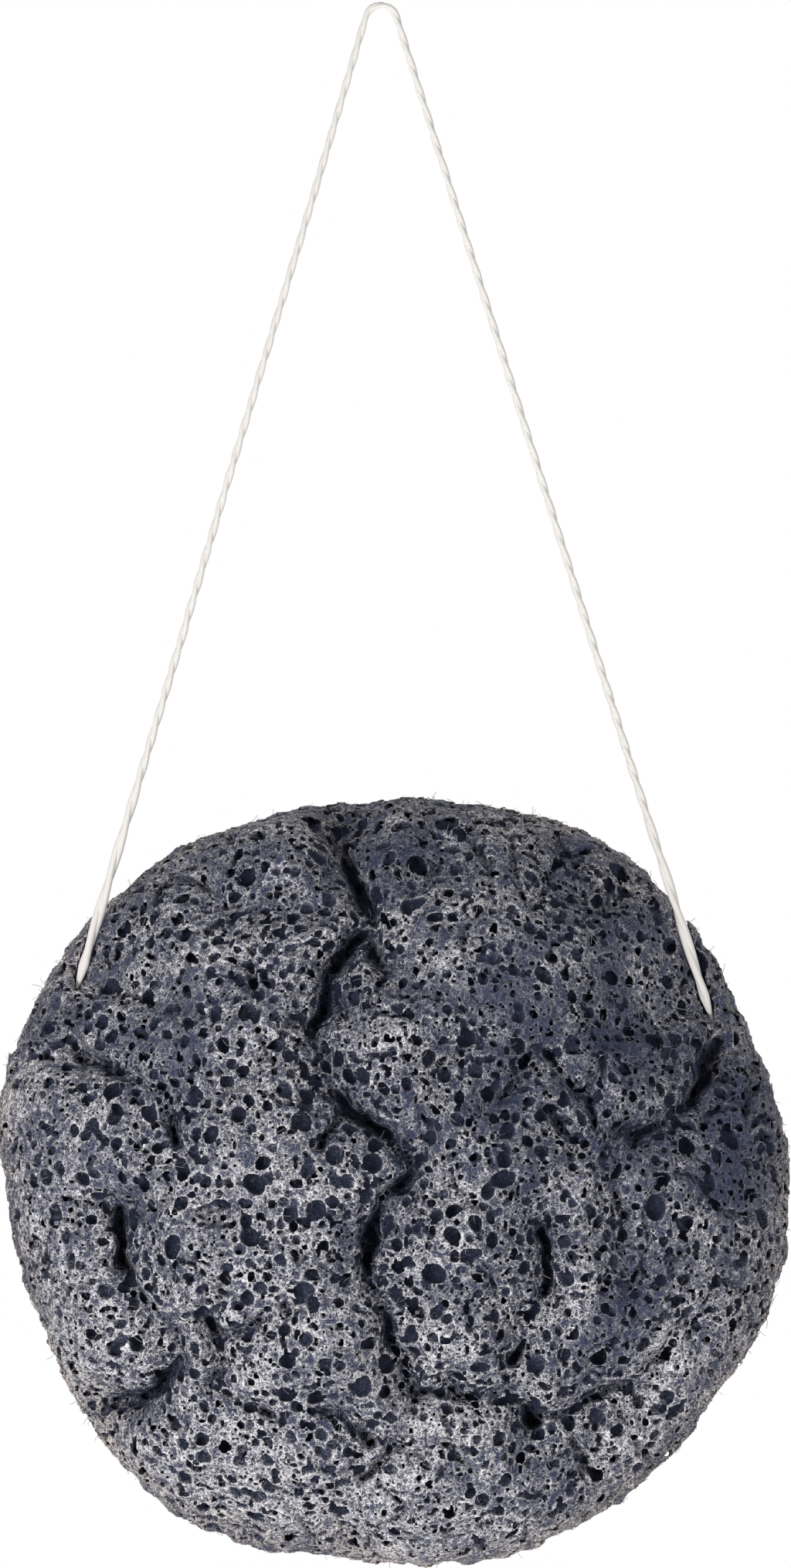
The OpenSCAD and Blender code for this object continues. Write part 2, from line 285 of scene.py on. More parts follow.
def leg_valleys(x, y, z):
    """How far points are in front of the valleys that the cord's legs pull in the dome, or a minus behind."""
    # Foam covers the turn this high, thins out over fade mm up to start, and from there on lies just behind
    # the cord's middle, on a floor this wide to each side. Past that it rises at 45 degrees
    cover, start, fade, behind, floor = 2.4, 3.4, 1.8, 0.1, 0.6
    slant = 1.4
    deepest = np.full(np.broadcast_shapes(x.shape, y.shape, z.shape), -9.0, np.float32)
    for corner, end in ((LEFT_CORNER, 0), (RIGHT_CORNER, -1)):
        entry = np.array([CORD_ROUTE[end][0], 0, CORD_ROUTE[end][1]])
        leg = (entry - corner) / np.linalg.norm(entry - corner)
        px, py, pz = (p - c for p, c in zip((x, y, z), corner - MIDDLE))
        run = px * leg[0] + pz * leg[2]
        near = np.hypot(px - np.maximum(run, 0) * leg[0], pz - np.maximum(run, 0) * leg[2])
        height = cover * np.clip((start - run) / fade, 0, 1) - behind
        deepest = np.maximum(deepest, (-py - height - np.maximum(near - floor, 0)) / slant)
    return deepest.astype(np.float32)


def leg_slits(x, y, z, cord_r):
    """How far points are outside the slits that the legs of the cord swing in, with a minus inside."""
    # How far a slit reaches behind and before its leg at rest; the valley in front is open for the rest
    back, front = math.radians(14), math.radians(30)
    # Half its width where its lips all but close over the turn, where along the leg they start to open and
    # over what length they do, and the room round the turn
    closed, opens_at, opens_over, room = 0.12, 1.8, 2.2, 0.25
    near = np.full(np.broadcast_shapes(x.shape, y.shape, z.shape), 9.0, np.float32)
    thread = (RIGHT_CORNER - LEFT_CORNER) / np.linalg.norm(RIGHT_CORNER - LEFT_CORNER)
    for corner, along, end in ((LEFT_CORNER, thread, 0), (RIGHT_CORNER, -thread, -1)):
        entry = np.array([CORD_ROUTE[end][0], 0, CORD_ROUTE[end][1]])
        leg = (entry - corner) / np.linalg.norm(entry - corner)
        lean = leg @ along
        rise = (leg - lean * along) / math.sqrt(1 - lean**2)
        px, py, pz = (p - c for p, c in zip((x, y, z), corner - MIDDLE))
        depth = px * along[0] + py * along[1] + pz * along[2]
        up = px * rise[0] + py * rise[1] + pz * rise[2]
        radius = np.hypot(up, py)
        turned = np.arctan2(-py, up)
        over = np.maximum(0, np.maximum(turned - front, -back - turned))
        out = depth * lean + radius * math.sqrt(1 - lean**2)
        aside = depth * math.sqrt(1 - lean**2) - radius * lean
        opened = np.clip((out - opens_at) / opens_over, 0, 1)
        width = closed + (cord_r - 0.02) * opened * opened * (3 - 2 * opened)
        slit = np.hypot(aside, radius * np.minimum(over, 1.5)) - width
        slit = np.where(out > 0, slit, np.maximum(slit, -out))
        bend = np.sqrt(px**2 + py**2 + pz**2) - (cord_r + room)
        near = np.minimum(near, np.minimum(slit, bend))
    return near


# Cells: least and most radius, how many are tried, least and most depth of the middle under the skin in
# radii, and the least wall to the cells before
CELLS = [
    (0.90, 1.20, 260, 0.2, 0.9, 0.5),
    (0.58, 0.90, 6000, 0.1, 1.5, 0.2),
    (0.40, 0.60, 32000, 0.0, 1.9, 0.12),
    (0.27, 0.40, 60000, -0.2, 1.7, 0.09),
    (0.19, 0.27, 80000, -0.3, 1.0, 0.07),
]


def cell_field(skin, step, rng):
    """How far the grid's crossings are from the nearest cell's wall, with a minus inside a cell."""
    field = np.full(skin.shape, 3.0, np.float32)
    for least, most, tries, shallow, deep, wall in CELLS:
        mean = (least + most) / 2
        room = np.flatnonzero((skin < -shallow * mean) & (skin > -deep * mean))
        picks = rng.choice(room, tries)
        radii = least + (most - least) * rng.random(tries) ** 1.6
        stretch = rng.uniform(-1, 1, (tries, 6))
        # One cell in five breaks into its neighbour
        walls = np.where(rng.random(tries) < 0.2, -0.55 * radii, wall * rng.uniform(0.2, 1.9, tries))
        flat_field = field.ravel()
        for pick, radius, pull, gap in zip(picks, radii, stretch, walls):
            if flat_field[pick] < radius * 0.92 + gap:
                continue
            at = np.array(np.unravel_index(pick, skin.shape))
            reach = int((radius * 1.25 + 0.75) / step) + 1
            low, high = np.maximum(at - reach, 0), np.minimum(at + reach + 1, skin.shape)
            px, py, pz = (((np.arange(a, b) - m) * step).reshape([-1 if i == k else 1 for k in range(3)])
                          for i, (a, b, m) in enumerate(zip(low, high, at)))
            # An egg shape: each axis is stretched, and sheared a little towards the next
            sx, sy, sz = 1 + 0.2 * pull[:3]
            qx = (px + 0.25 * pull[3] * py) * sx
            qy = (py + 0.25 * pull[4] * pz) * sy
            qz = (pz + 0.25 * pull[5] * px) * sz
            block = np.sqrt(qx * qx + qy * qy + qz * qz) - radius
            view = field[low[0]:high[0], low[1]:high[1], low[2]:high[2]]
            np.minimum(view, block, out=view)
    return field


def blurred(solid, reach):
    """The mean of a grid over boxes of 2 reach + 1 points, taken twice."""
    width = 2 * reach + 1
    for axis in (0, 1, 2) * 2:
        pad = [(0, 0)] * 3
        pad[axis] = (reach + 1, reach)
        total = np.cumsum(np.pad(solid, pad), axis=axis, dtype=np.float32)
        upper = np.take(total, range(width, total.shape[axis]), axis=axis)
        lower = np.take(total, range(0, total.shape[axis] - width), axis=axis)
        solid = (upper - lower) / width
    return solid


def surface_net(field):
    """The surface where a grid of distances is zero: points in grid steps, and outward faces of four."""
    inside = field < 0
    cells = np.array(field.shape) - 1
    spots, owners, turned = [], [], []
    for axis in range(3):
        first = [slice(None)] * 3
        second = [slice(None)] * 3
        first[axis], second[axis] = slice(None, -1), slice(1, None)
        crossed = inside[tuple(first)] != inside[tuple(second)]
        at = np.stack(np.nonzero(crossed), 1)
        here = field[tuple(first)][crossed]
        there = field[tuple(second)][crossed]
        spot = at.astype(np.float32)
        spot[:, axis] += here / (here - there)
        b, c = (axis + 1) % 3, (axis + 2) % 3
        ring = []
        for db, dc in ((1, 1), (0, 1), (0, 0), (1, 0)):
            cell = at.copy()
            cell[:, b] -= db
            cell[:, c] -= dc
            ring.append((cell[:, 0] * cells[1] + cell[:, 1]) * cells[2] + cell[:, 2])
        owners.append(np.stack(ring, 1))
        spots.append(spot)
        turned.append(here > 0)
    spots, owners, turned = np.concatenate(spots), np.concatenate(owners), np.concatenate(turned)
    _, faces = np.unique(owners, return_inverse=True)
    faces = faces.reshape(-1, 4)
    count = np.bincount(faces.ravel())
    points = np.stack([np.bincount(faces.ravel(), np.repeat(s, 4)) / count for s in spots.T], 1)
    faces[turned] = faces[turned][:, ::-1]
    return points, faces


def largest_shell(points, faces):
    """Keeps the faces that hang together with the most others, and drops closed bubbles and loose crumbs."""
    label = np.arange(len(points))
    a, b = faces.ravel(), np.roll(faces, -1, axis=1).ravel()
    while True:
        low = np.minimum(label[a], label[b])
        new = label.copy()
        np.minimum.at(new, a, low)
        np.minimum.at(new, b, low)
        new = new[new]
        new = np.minimum(new, new[new])
        if (new == label).all():
            break
        label = new
    main = np.bincount(label).argmax()
    kept = label == main
    place = np.cumsum(kept) - 1
    return points[kept], place[faces[kept[faces[:, 0]]]]


def softened(points, faces):
    """Moves each point towards its neighbours' mean and back again, which takes the grid's steps out."""
    a, b = faces.ravel(), np.roll(faces, -1, axis=1).ravel()
    count = np.bincount(a, minlength=len(points)) + np.bincount(b, minlength=len(points))
    for share in (0.5, -0.52):
        total = [np.bincount(a, p[b], len(p)) + np.bincount(b, p[a], len(p)) for p in points.T]
        points = points + share * (np.stack(total, 1) / count[:, None] - points)
    return points


def sampled(field, points):
    """A grid's values at points given in its steps."""
    low = np.clip(np.floor(points).astype(int), 0, np.array(field.shape) - 2)
    t = points - low
    found = np.zeros(len(points))
    for corner in range(8):
        step = [(corner >> k) & 1 for k in range(3)]
        weight = np.prod([t[:, k] if s else 1 - t[:, k] for k, s in enumerate(step)], axis=0)
        found += weight * field[low[:, 0] + step[0], low[:, 1] + step[1], low[:, 2] + step[2]]
    return found


def two_discs(points, faces, sizes):
    """A map for baking: the front of the puff as one disc and the back as another, clear of each other."""
    wide, crown, back = sizes.width / 2 / MM, sizes.crown / MM, sizes.back / MM
    x, y, z = points.T
    radius = np.maximum(np.hypot(x, z), 1e-6)
    front_at, front_size, back_at, back_size = 0.335, 0.305, 0.755, 0.225
    front = np.arctan2(radius / wide, -y / crown) / (math.pi / 2) * front_size
    behind = (radius + 0.9 * np.clip(back - y, 0, None)) / (1.17 * wide) * back_size
    across = np.stack([x / radius, z / radius], 1)
    ahead = (y[faces].mean(1) < 0)[:, None, None]
    return np.where(ahead, (front_at + front[:, None] * across)[faces],
                    (back_at + behind[:, None] * across)[faces])


# The grid that the foam is carved from: its reach across, forwards and back, and up, in mm from the middle
GRID_REACH = ((-42.6, 42.6), (-25.6, 8.6), (-42.6, 42.6))


def carve_foam(sizes, cord_r):
    """Points in mm, faces, and what the finish reads at each point, such as its depth in a cell."""
    rng = np.random.default_rng(sizes.seed)
    step = sizes.detail / MM
    axes = [np.arange(low, high, step) for low, high in GRID_REACH]
    x, y, z = np.meshgrid(*axes, indexing="ij", sparse=True)
    x2, z2 = np.meshgrid(axes[0], axes[2], indexing="ij")
    sheet = axes[0], axes[2]
    # The folds' lines wander a little, and their cuts open and close along them
    wander = [smooth_noise(sheet, 2.6, rng) * 0.6 + smooth_noise(sheet, 0.9, rng) * 0.35 for _ in range(2)]
    pull, cut = fold_fields(x2 + wander[0], z2 + wander[1], sizes)
    cut *= np.clip(0.6 + 0.95 * smooth_noise(sheet, 2.2, rng), 0.05, 1.05)
    # Fine creases between the folds: the lines where one soft noise is zero, in patches that another picks
    crease = (np.exp(-((smooth_noise(sheet, 3, rng) / 0.1) ** 2))
              * np.clip(smooth_noise(sheet, 3.5, rng) * 2, 0, 1))
    cut = np.maximum(cut, 0.24 * crease)
    # Folds belong to the dome, and fade out over the last 6 mm before its widest line
    front = np.clip(-y / 6, 0, 1)
    front = front * front * (3 - 2 * front)
    # Lumps about 9 and 4 mm across
    lumps = smooth_noise(axes, 9, rng) * 0.6 + smooth_noise(axes, 4.2, rng) * 0.5
    # The cells take a little off the skin, so it starts that much fuller
    skin = puff_distance(x, y, z, sizes) - 0.15
    skin += (pull * sizes.fold_depth / MM + cut * sizes.cut_depth / MM)[:, None, :] * front
    skin += lumps * np.clip((5 - y) / 6, 0.25, 1)
    valley = leg_valleys(x, y, z)
    # The greater of the two distances, with a soft corner where they meet
    skin = ((skin + valley + np.sqrt((skin - valley) ** 2 + 0.5)) / 2).astype(np.float32)
    del valley
    cells = cell_field(skin, step, rng)
    ragged = smooth_noise(axes, 0.75, rng)
    cells += 0.09 * ragged
    # No cell opens on to the turns of the cord
    for corner in (LEFT_CORNER, RIGHT_CORNER):
        px, py, pz = (p - c for p, c in zip((x, y, z), corner - MIDDLE))
        cells = np.maximum(cells, 1.7 - np.sqrt(px**2 + py**2 + pz**2))
    # Mouths of cells have a slightly raised lip, and the skin is rough, most of all at the rim and the back
    lips = 0.13 * np.exp(-(((cells - 0.1) / 0.15) ** 2))
    rough = (0.16 * smooth_noise(axes, 1.1, rng) + 0.1 * ragged) * (1 + 1.3 * np.clip((y + 8) / 8, 0, 1))
    solid = np.maximum(skin - lips + rough, -cells)
    solid = np.maximum(solid, -(leg_slits(x, y, z, cord_r) + 0.05 * ragged))
    del lips, rough, lumps
    points, faces = surface_net(solid)
    points, faces = largest_shell(points, faces)
    points = softened(points, faces)
    # What the finish reads to paint shade and highlights: bare is more than 0 on edges that stand out, and
    # hollow where foam is all around
    # Painted highlights follow bare and edge; painted shade follows hollow, the depth in a cell and the folds
    full = (solid < 0).astype(np.float32)
    depth = sampled(-skin, points)
    hollow = sampled(blurred(full, round(1.3 / step)), points) - 0.5
    from_cell = np.clip(sampled(cells, points) - 0.05, 0, None)
    edge = np.exp(-((from_cell / 0.14) ** 2)) * np.clip(1.25 - depth / 0.4, 0, 1)
    bare = 0.5 - sampled(blurred(full, 1), points)
    # Folds are a flat sheet, laid twice to be sampled as a grid
    across = [points[:, 0], np.zeros(len(points)), points[:, 2]]
    fold = sampled(np.repeat(pull[:, None, :], 2, 1), np.stack(across, 1))
    points = points * step + [a[0] for a in axes]
    fold *= np.clip(-points[:, 1] / 6, 0, 1)
    return points, faces, {"cell_depth": depth, "edge": edge, "bare": bare, "hollow": hollow, "fold": fold}


# Finishes


def konjac_foam(finishes):
    """Konjac foam dyed with charcoal: freeze-dried, so it is dull and chalky, with pale threads of dry
    konjac.
    Shade is painted in its cells, hollows and folds, and highlights are painted on the rims of its cells."""
    made, tree = new_material("charcoal konjac foam")
    place = add(tree, "ShaderNodeTexCoord").outputs["Object"]
    depth, edge, bare, hollow, fold = (
        add(tree, "ShaderNodeAttribute", attribute_name=name).outputs["Fac"]
        for name in ("cell_depth", "edge", "bare", "hollow", "fold"))
    # Cells too small to carve, about 0.7 and 0.4 mm apart: each is a dark disc of painted shade in a thin
    # pale ring of painted highlight, and is bent out of round
    bent = add(tree, "ShaderNodeTexNoise", {"Vector": place, "Scale": 1200.0, "Detail": 2.0})
    bend = add(tree, "ShaderNodeVectorMath", {0: bent.outputs["Color"], 1: (0.5, 0.5, 0.5)},
               operation="SUBTRACT")
    bend = add(tree, "ShaderNodeVectorMath", {0: bend.outputs[0], "Scale": 0.0006}, operation="SCALE")
    moved = add(tree, "ShaderNodeVectorMath", {0: place, 1: bend.outputs[0]}, operation="ADD").outputs[0]
    discs, rings, threads = [], [], []
    for scale in (1400.0, 2500.0):
        cell = add(tree, "ShaderNodeTexVoronoi",
                   {"Vector": moved, "Scale": scale, "Randomness": 1.0}).outputs[0]
        discs.append(add(tree, "ShaderNodeMapRange",
                         {"Value": cell, "From Min": 0.38, "From Max": 0.24}).outputs[0])
        off = add(tree, "ShaderNodeMath", {0: cell, 1: 0.43}, operation="SUBTRACT").outputs[0]
        off = add(tree, "ShaderNodeMath", {0: off}, operation="ABSOLUTE").outputs[0]
        rings.append(add(tree, "ShaderNodeMapRange",
                         {"Value": off, "From Min": 0.11, "From Max": 0.02}).outputs[0])
    disc = add(tree, "ShaderNodeMath", {0: discs[0], 1: discs[1]}, operation="MAXIMUM").outputs[0]
    ring = add(tree, "ShaderNodeMath", {0: rings[0], 1: rings[1]}, operation="MAXIMUM").outputs[0]
    # Threads of konjac in the walls, about 0.8 and 0.3 mm apart: the lines along which a soft noise is at
    # its middle. The finest real ones would not show, so these are drawn coarser
    for scale, thin in ((1300.0, 0.03), (3000.0, 0.06)):
        noise = add(tree, "ShaderNodeTexNoise",
                    {"Vector": moved, "Scale": scale, "Detail": 2.0, "Distortion": 0.6})
        off = add(tree, "ShaderNodeMath", {0: noise.outputs["Fac"], 1: 0.5}, operation="SUBTRACT").outputs[0]
        off = add(tree, "ShaderNodeMath", {0: off}, operation="ABSOLUTE").outputs[0]
        threads.append(add(tree, "ShaderNodeMapRange",
                           {"Value": off, "From Min": thin, "From Max": thin * 0.2}).outputs[0])
    thread = add(tree, "ShaderNodeMath", {0: threads[0], 1: threads[1]}, operation="MAXIMUM").outputs[0]
    # How pale the skin is: painted highlights on rims, on the mouths of cells and on rings, and the real pale
    # threads, strong in some patches of about 9 mm and faint in others
    rim = add(tree, "ShaderNodeMapRange", {"Value": bare, "From Min": 0.0, "From Max": 0.25}).outputs[0]
    mix = add(tree, "ShaderNodeMath", {0: ring, 1: 0.44}, operation="MULTIPLY").outputs[0]
    mix = add(tree, "ShaderNodeMath", {0: thread, 1: 0.43, 2: mix}, operation="MULTIPLY_ADD").outputs[0]
    mix = add(tree, "ShaderNodeMath", {0: rim, 1: 0.16, 2: mix}, operation="MULTIPLY_ADD").outputs[0]
    mix = add(tree, "ShaderNodeMath", {0: edge, 1: 0.66, 2: mix}, operation="MULTIPLY_ADD").outputs[0]
    patch = add(tree, "ShaderNodeTexNoise",
                {"Vector": place, "Scale": 110.0, "Detail": 5.0, "Roughness": 0.75})
    areas = add(tree, "ShaderNodeMapRange",
                {"Value": patch.outputs["Fac"], "From Min": 0.35, "From Max": 0.66, "To Min": 0.56,
                 "To Max": 1.05}).outputs[0]
    # Painted light: paler low and to the left, where the key lamp shines from, and darker high on the right
    dry = add(tree, "ShaderNodeVectorMath", {0: place, 1: (-2, 0, -18)},
              operation="DOT_PRODUCT").outputs["Value"]
    dry = add(tree, "ShaderNodeMath", {0: dry, 1: 0.15, 2: -0.38}, operation="MULTIPLY_ADD").outputs[0]
    areas = add(tree, "ShaderNodeMath", {0: areas, 1: dry}, operation="ADD").outputs[0]
    # Painted shade: a darker patch high on the right, away from the light
    away = add(tree, "ShaderNodeVectorMath", {0: place, 1: (0.028, -0.01, -0.113)}, operation="DISTANCE")
    painted_shade_patch = add(tree, "ShaderNodeMapRange",
               {"Value": away.outputs["Value"], "From Min": 0.026, "From Max": 0.01,
                "To Max": 0.2}).outputs[0]
    areas = add(tree, "ShaderNodeMath", {0: areas, 1: painted_shade_patch}, operation="SUBTRACT").outputs[0]
    # Painted glow: round the puff's edge the pale threads are tinted warm, as light shining through the thin
    # foam
    back = add(tree, "ShaderNodeSeparateXYZ", {0: place}).outputs["Y"]
    ahead = add(tree, "ShaderNodeMapRange",
                {"Value": back, "From Min": -0.004, "From Max": 0.005}).outputs[0]
    behind = add(tree, "ShaderNodeMapRange",
                 {"Value": back, "From Min": 0.0115, "From Max": 0.006}).outputs[0]
    edge_glow = add(tree, "ShaderNodeMath", {0: ahead, 1: behind}, operation="MINIMUM").outputs[0]
    pale = add(tree, "ShaderNodeMath", {0: mix, 1: areas}, operation="MULTIPLY", use_clamp=True).outputs[0]
    pale = add(tree, "ShaderNodeMath", {0: pale, 1: 3.0}, operation="POWER").outputs[0]
    # Painted shade: darker deep in cells, in hollows, in folds and in the small cells
    down = add(tree, "ShaderNodeMapRange",
               {"Value": depth, "From Min": 0.15, "From Max": 0.95, "To Max": 0.95}).outputs[0]
    shut = add(tree, "ShaderNodeMapRange",
               {"Value": hollow, "From Min": -0.05, "From Max": 0.35, "To Max": 0.9}).outputs[0]
    dark = add(tree, "ShaderNodeMath", {0: down, 1: shut}, operation="MAXIMUM").outputs[0]
    dark = add(tree, "ShaderNodeMath", {0: thread, 1: -0.3, 2: dark}, operation="MULTIPLY_ADD").outputs[0]
    dark = add(tree, "ShaderNodeMath", {0: fold, 1: 0.48, 2: dark}, operation="MULTIPLY_ADD").outputs[0]
    dark = add(tree, "ShaderNodeMath", {0: disc, 1: 0.65, 2: dark}, operation="MULTIPLY_ADD", use_clamp=True)
    # The pale threads, with the painted warm glow round the edge
    dried = add(tree, "ShaderNodeMix", {"Factor": edge_glow, 6: (*finishes.foam_pale, 1), 7: linear("#dacec3")},
                data_type="RGBA").outputs[2]
    skin = add(tree, "ShaderNodeMix", {"Factor": pale, 6: (*finishes.foam_mid, 1), 7: dried},
               data_type="RGBA").outputs[2]
    colour = add(tree, "ShaderNodeMix", {"Factor": dark.outputs[0], 6: skin, 7: (*finishes.foam_cell_shade, 1)},
                 data_type="RGBA").outputs[2]
    height = add(tree, "ShaderNodeMath", {0: ring, 1: thread}, operation="ADD").outputs[0]
    bump = add(tree, "ShaderNodeBump", {"Height": height, "Strength": 0.7, "Distance": 0.00005}).outputs[0]
    # The dry threads glisten a little
    dull = add(tree, "ShaderNodeMapRange", {"Value": thread, "To Min": 0.9, "To Max": 0.5}).outputs[0]
    shader = add(tree, "ShaderNodeBsdfPrincipled", {"Base Color": colour, "Roughness": dull, "Normal": bump})
    add(tree, "ShaderNodeOutputMaterial", {"Surface": shader.outputs[0]})
    return made


def cotton(finishes):
    """Cotton cord: undyed and soft, with fine hairs that blur its edge and grey shade between its plies."""
    made, tree = new_material("undyed cotton cord")
    place = add(tree, "ShaderNodeTexCoord").outputs["Object"]
    # Fibres 0.2 mm apart, coarser than real ones so that they show, and stretches of 2.4 mm that are greyer
    fibre = add(tree, "ShaderNodeTexNoise",
                {"Vector": place, "Scale": 5200.0, "Detail": 3.0, "Roughness": 0.7}).outputs["Fac"]
    soft = add(tree, "ShaderNodeTexNoise", {"Vector": place, "Scale": 420.0, "Detail": 2.0}).outputs["Fac"]
    shade = add(tree, "ShaderNodeMath", {0: fibre, 1: soft}, operation="MULTIPLY").outputs[0]
    share = add(tree, "ShaderNodeMapRange", {"Value": shade, "From Min": 0.1, "From Max": 0.4}).outputs[0]
    colour = add(tree, "ShaderNodeMix", {"Factor": share, 6: linear("#ede8e3"), 7: (*finishes.cotton, 1)},
                 data_type="RGBA").outputs[2]
    bump = add(tree, "ShaderNodeBump", {"Height": fibre, "Strength": 0.12, "Distance": 0.00006})
    shader = add(tree, "ShaderNodeBsdfPrincipled",
                 {"Base Color": colour, "Roughness": 0.8, "Sheen Weight": 0.3, "Normal": bump.outputs[0]})
    add(tree, "ShaderNodeOutputMaterial", {"Surface": shader.outputs[0]})
    return made


def konjac_thread():
    """Dry konjac threads: pale grey and slightly clear, so they catch the light."""
    made, tree = new_material("dry konjac thread")
    place = add(tree, "ShaderNodeTexCoord").outputs["Object"]
    # Paler and darker stretches of about 1 mm
    patch = add(tree, "ShaderNodeTexNoise", {"Vector": place, "Scale": 900.0, "Detail": 1.0}).outputs["Fac"]
    colour = add(tree, "ShaderNodeMix", {"Factor": patch, 6: linear("#565a66"), 7: linear("#c4bfbc")},
                 data_type="RGBA").outputs[2]
    shader = add(tree, "ShaderNodeBsdfPrincipled", {"Base Color": colour, "Roughness": 0.6})
    add(tree, "ShaderNodeOutputMaterial", {"Surface": shader.outputs[0]})
    return made


# Geometry Nodes


def new_tree(name, sizes):
    """A geometry tree with an input for each size, and the sockets that give them."""
    tree = bpy.data.node_groups.new(name, "GeometryNodeTree")
    tree.is_modifier = True
    tree.interface.new_socket("Geometry", in_out="INPUT", socket_type="NodeSocketGeometry")
    tree.interface.new_socket("Geometry", in_out="OUTPUT", socket_type="NodeSocketGeometry")
    for label, kind in sizes:
        tree.interface.new_socket(label, in_out="INPUT", socket_type=kind)
    return tree, add(tree, "NodeGroupInput").outputs


def run_tree(ob, tree, values):
    """Runs a tree on an object with these inputs and gives the object the plain mesh that comes out."""
    modifier = ob.modifiers.new(tree.name, "NODES")
    modifier.node_group = tree
    for item in tree.interface.items_tree:
        if item.in_out == "INPUT" and item.name in values:
            modifier[item.identifier] = values[item.name]
    graph = bpy.context.evaluated_depsgraph_get()
    mesh = bpy.data.meshes.new_from_object(ob.evaluated_get(graph), depsgraph=graph)
    ob.modifiers.remove(modifier)
    old, ob.data = ob.data, mesh
    mesh.name = ob.name
    bpy.data.meshes.remove(old)


def ply_tree(material):
    """Two plies wound round a line, whose points say how far they have turned and how flat the cord is."""
    tree, given = new_tree("cord plies", [
        ("Ply Radius", "NodeSocketFloat"), ("Wind Radius", "NodeSocketFloat"), ("Sides", "NodeSocketInt")])
    curve = add(tree, "GeometryNodeMeshToCurve", {0: given["Geometry"]}).outputs[0]
    turn, wide, thick = (
        add(tree, "GeometryNodeInputNamedAttribute", {"Name": name}, data_type="FLOAT").outputs[0]
        for name in ("turn", "wide", "thick"))
    tangent = add(tree, "GeometryNodeInputTangent").outputs[0]
    side = add(tree, "ShaderNodeVectorMath", {0: tangent, 1: (0, 1, 0)}, operation="CROSS_PRODUCT").outputs[0]
    ring = add(tree, "GeometryNodeCurvePrimitiveCircle",
               {"Resolution": given["Sides"], "Radius": given["Ply Radius"]})
    plies = []
    for phase in (0, math.pi):
        angle = add(tree, "ShaderNodeMath", {0: turn, 1: phase}, operation="ADD").outputs[0]
        cosine = add(tree, "ShaderNodeMath", {0: angle}, operation="COSINE").outputs[0]
        sine = add(tree, "ShaderNodeMath", {0: angle}, operation="SINE").outputs[0]
        aside = add(tree, "ShaderNodeMath", {0: cosine, 1: wide}, operation="MULTIPLY").outputs[0]
        ahead = add(tree, "ShaderNodeMath", {0: sine, 1: thick}, operation="MULTIPLY").outputs[0]
        out = add(tree, "ShaderNodeVectorMath", {0: side, "Scale": aside}, operation="SCALE").outputs[0]
        forward = add(tree, "ShaderNodeCombineXYZ", {"Y": ahead}).outputs[0]
        both = add(tree, "ShaderNodeVectorMath", {0: out, 1: forward}, operation="ADD").outputs[0]
        offset = add(tree, "ShaderNodeVectorMath", {0: both, "Scale": given["Wind Radius"]},
                     operation="SCALE").outputs[0]
        moved = add(tree, "GeometryNodeSetPosition", {"Geometry": curve, "Offset": offset}).outputs[0]
        plies.append(add(tree, "GeometryNodeCurveToMesh", {"Curve": moved, "Profile Curve": ring.outputs[0],
                                                           "Scale": thick, "Fill Caps": True}).outputs[0])
    joined = add(tree, "GeometryNodeJoinGeometry")
    for ply in plies:
        tree.links.new(ply, joined.inputs[0])
    smooth = add(tree, "GeometryNodeSetShadeSmooth", {0: joined.outputs[0]}).outputs[0]
    real = add(tree, "GeometryNodeRealizeInstances", {0: smooth}).outputs[0]
    worn = add(tree, "GeometryNodeSetMaterial", {"Geometry": real, "Material": material}).outputs[0]
    add(tree, "NodeGroupOutput", {0: worn})
    return tree


def fibre_tree(skin, material):
    """Short bent fibres scattered over the skin of the foam, lying almost flat."""
    tree, given = new_tree("loose fibres", [
        ("Length", "NodeSocketFloat"), ("Thickness", "NodeSocketFloat"), ("Density", "NodeSocketFloat"),
        ("Seed", "NodeSocketInt")])
    foam = add(tree, "GeometryNodeObjectInfo", {"Object": skin},
               transform_space="RELATIVE").outputs["Geometry"]
    depth = add(tree, "GeometryNodeInputNamedAttribute", {"Name": "cell_depth"}, data_type="FLOAT").outputs[0]
    shallow = add(tree, "FunctionNodeCompare", {"A": depth, "B": 0.15}, operation="LESS_THAN").outputs[0]
    spots = add(tree, "GeometryNodeDistributePointsOnFaces",
                {"Mesh": foam, "Selection": shallow, "Density": given["Density"], "Seed": given["Seed"]})
    # One fibre, as long as 1: it starts under the skin, rises in a low arch and dips into the skin again
    bend = add(tree, "GeometryNodeCurveQuadraticBezier",
               {"Resolution": 3, "Start": (0, 0, -0.03), "Middle": (0.45, 0.1, 0.11),
                "End": (0.8, 0.5, -0.05)})
    thread = add(tree, "GeometryNodeCurvePrimitiveCircle", {"Resolution": 3, "Radius": 0.5})
    ratio = add(tree, "ShaderNodeMath", {0: given["Thickness"], 1: given["Length"]},
                operation="DIVIDE").outputs[0]
    fibre = add(tree, "GeometryNodeCurveToMesh",
                {"Curve": bend.outputs[0], "Profile Curve": thread.outputs[0], "Scale": ratio,
                 "Fill Caps": True}).outputs[0]
    spin = add(tree, "FunctionNodeRandomValue",
               {"Min": (-0.1, -0.1, 0), "Max": (0.1, 0.1, 6.283), "Seed": given["Seed"]},
               data_type="FLOAT_VECTOR").outputs[0]
    turned = add(tree, "FunctionNodeRotateRotation", {0: spots.outputs["Rotation"], 1: spin},
                 rotation_space="LOCAL")
    size = add(tree, "FunctionNodeRandomValue", {2: 0.25, 3: 1.0, "Seed": given["Seed"]},
               data_type="FLOAT").outputs[1]
    scale = add(tree, "ShaderNodeMath", {0: size, 1: given["Length"]}, operation="MULTIPLY").outputs[0]
    placed = add(tree, "GeometryNodeInstanceOnPoints",
                 {"Points": spots.outputs["Points"], "Instance": fibre, "Rotation": turned.outputs[0],
                  "Scale": scale}).outputs[0]
    real = add(tree, "GeometryNodeRealizeInstances", {0: placed}).outputs[0]
    worn = add(tree, "GeometryNodeSetMaterial", {"Geometry": real, "Material": material}).outputs[0]
    add(tree, "NodeGroupOutput", {0: worn})
    return tree


# Operators


